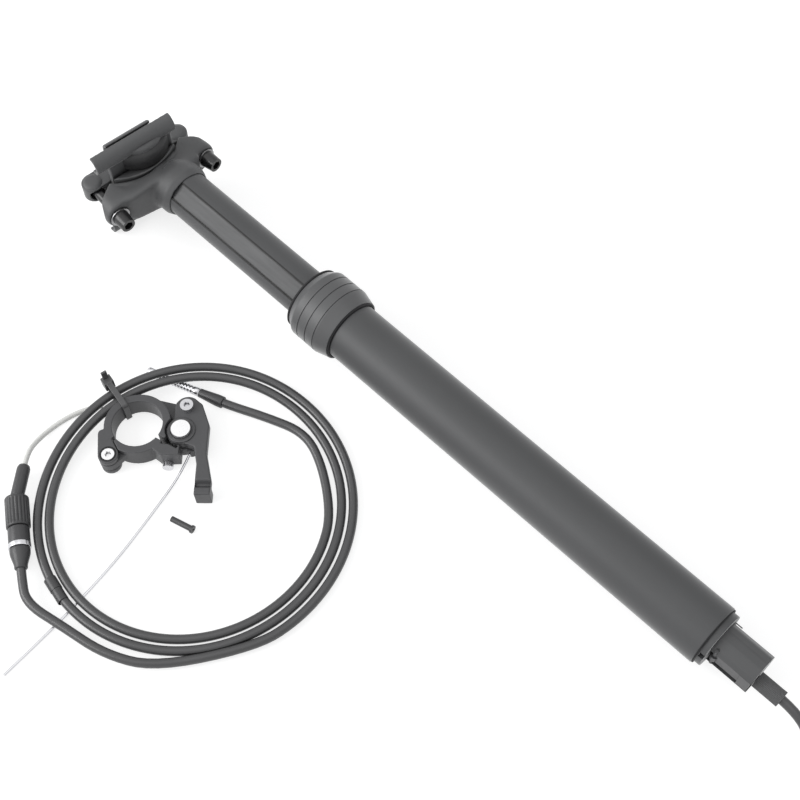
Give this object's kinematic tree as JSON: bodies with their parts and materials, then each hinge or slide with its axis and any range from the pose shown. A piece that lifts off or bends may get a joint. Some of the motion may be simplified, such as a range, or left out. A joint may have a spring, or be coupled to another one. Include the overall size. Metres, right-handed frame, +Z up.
{
  "type": "dropper seatpost with remote kit",
  "caption": "Dropper seatpost lying on its side: sliding keyed stanchion, twin-bolt rail clamp, cable actuator at the tail, with coiled housing and bar remote.",
  "frame": {"origin": "on the post's axis, halfway along the outer tube below the collar", "axes": "+X along the post's length towards the tail (the post leans 2.33 degrees down to the tail, lying on its left rail channel and tail edge), +Y towards the bike's front, +Z up from the floor, which is the bike's right-hand side"},
  "size_m": [0.4236, 0.2289, 0.0544],
  "materials": {
    "black_anodised": "satin black anodised",
    "forged_black": "matt black blasted and anodised",
    "grey_anodised": "satin dark grey hard anodised",
    "bare_aluminium": "machined",
    "steel": "bright steel",
    "dark_steel": "black oxide",
    "brass_keys": "machined",
    "seal_rubber": "matt",
    "slide_polymer": "smooth",
    "black_plastic": "satin",
    "cable_housing": "semi-gloss sheath",
    "pale_liner": "translucent nylon look"
  },
  "bodies": {
    "post": {"outer_tube": "black_anodised", "collar": "black_anodised", "wiper_seal": "seal_rubber", "collar_o_ring": "seal_rubber", "upper_bushing": "slide_polymer", "keys": "brass_keys", "tail_cap": "black_anodised", "rod_nut": "steel", "spring_rod": "steel", "piston": "slide_polymer", "bumper": "seal_rubber", "actuator_housing": "black_anodised", "lever_pin": "steel", "lock_wire": "steel", "tail_cable": "cable_housing", "tail_connector": "black_plastic", "tail_tip": "steel", "cable_coil": "cable_housing", "strand_connector": "black_plastic", "strand_tip": "steel", "adjuster_boot": "seal_rubber", "adjuster_band": "black_plastic", "adjuster_ring": "steel", "adjuster_nose": "black_plastic", "liner": "pale_liner", "inner_wire": "steel", "strand_sleeve": "black_plastic", "end_sleeve": "black_plastic", "remote_body": "black_anodised", "clamp_band": "black_anodised", "hinge_screw": "steel", "closing_bolt": "steel", "pivot_bolt": "steel", "cable_tie": "black_plastic"},
    "upper_post": {"stanchion": "grey_anodised", "saddle_head": "forged_black", "lower_bushing": "slide_polymer", "spring_body": "bare_aluminium", "spring_gland": "bare_aluminium", "snap_ring": "steel"},
    "saddle_clamp": {"lower_cradle": "forged_black", "upper_clamp": "forged_black"},
    "front_bolt_set": {"front_saddle_bolt": "dark_steel", "front_washer": "steel"},
    "rear_bolt_set": {"rear_saddle_bolt": "dark_steel", "rear_washer": "steel"},
    "front_nut": {"front_barrel_nut": "dark_steel"},
    "rear_nut": {"rear_barrel_nut": "dark_steel"},
    "actuator": {"actuator_lever": "dark_steel"},
    "valve": {"valve_pin": "steel"},
    "barrel": {"cable_barrel": "black_anodised"},
    "remote_lever": {"thumb_lever": "black_anodised", "pinch_bolt": "steel"},
    "adjuster": {"adjuster_barrel": "black_plastic"}
  },
  "joints": [
    {"name": "post_drop", "type": "slide", "parent": "post", "child": "upper_post", "axis": [0.9992, 0, -0.0407], "range_m": [0, 0.078]},
    {"name": "saddle_tilt", "type": "hinge", "parent": "upper_post", "child": "saddle_clamp", "pos_m": [-0.25007, -0.00343, 0.01018], "axis": [0.0407, 0, 0.9992], "range_deg": [-1, 8]},
    {"name": "front_bolt_swing", "type": "hinge", "parent": "upper_post", "child": "front_bolt_set", "pos_m": [-0.20965, 0.0203, 0.00853], "axis": [0.0407, 0, 0.9992], "range_deg": [-6, 6]},
    {"name": "rear_bolt_swing", "type": "hinge", "parent": "upper_post", "child": "rear_bolt_set", "pos_m": [-0.21273, -0.03114, 0.00866], "axis": [0.0407, 0, 0.9992], "range_deg": [-6, 6]},
    {"name": "front_nut_turn", "type": "hinge", "parent": "saddle_clamp", "child": "front_nut", "pos_m": [-0.236, 0.01852, 0.00961], "axis": [0.0407, 0, 0.9992], "range_deg": [-14, 14]},
    {"name": "rear_nut_turn", "type": "hinge", "parent": "saddle_clamp", "child": "rear_nut", "pos_m": [-0.24172, -0.02813, 0.00984], "axis": [0.0407, 0, 0.9992], "range_deg": [-14, 14]},
    {"name": "actuator_swing", "type": "hinge", "parent": "post", "child": "actuator", "pos_m": [0.10591, -0.0064, -0.00431], "axis": [-0.0407, 0, -0.9992], "range_deg": [-2, 8]},
    {"name": "valve_press", "type": "slide", "parent": "post", "child": "valve", "axis": [-0.9992, 0, 0.0407], "range_m": [0, 0.000447]},
    {"name": "barrel_turn", "type": "hinge", "parent": "post", "child": "barrel", "pos_m": [0.1235, -0.0019, -0.00503], "axis": [0.9992, 0, -0.0407], "continuous": true},
    {"name": "remote_press", "type": "hinge", "parent": "post", "child": "remote_lever", "pos_m": [-0.12407, -0.08142, -0.01268], "axis": [0, 0, -1], "range_deg": [0, 24]},
    {"name": "adjuster_turn", "type": "hinge", "parent": "post", "child": "adjuster", "pos_m": [-0.15273, -0.15075, -0.01238], "axis": [0.8221, -0.5693, 0], "continuous": true}
  ],
  "couplings": [
    {"joint": "front_bolt_swing", "follows": "saddle_tilt", "ratio": -0.493},
    {"joint": "rear_bolt_swing", "follows": "saddle_tilt", "ratio": -0.4605},
    {"joint": "front_nut_turn", "follows": "saddle_tilt", "ratio": -1.493},
    {"joint": "rear_nut_turn", "follows": "saddle_tilt", "ratio": -1.4605},
    {"joint": "actuator_swing", "follows": "valve_press", "rad_per_m": 156.25}
  ]
}
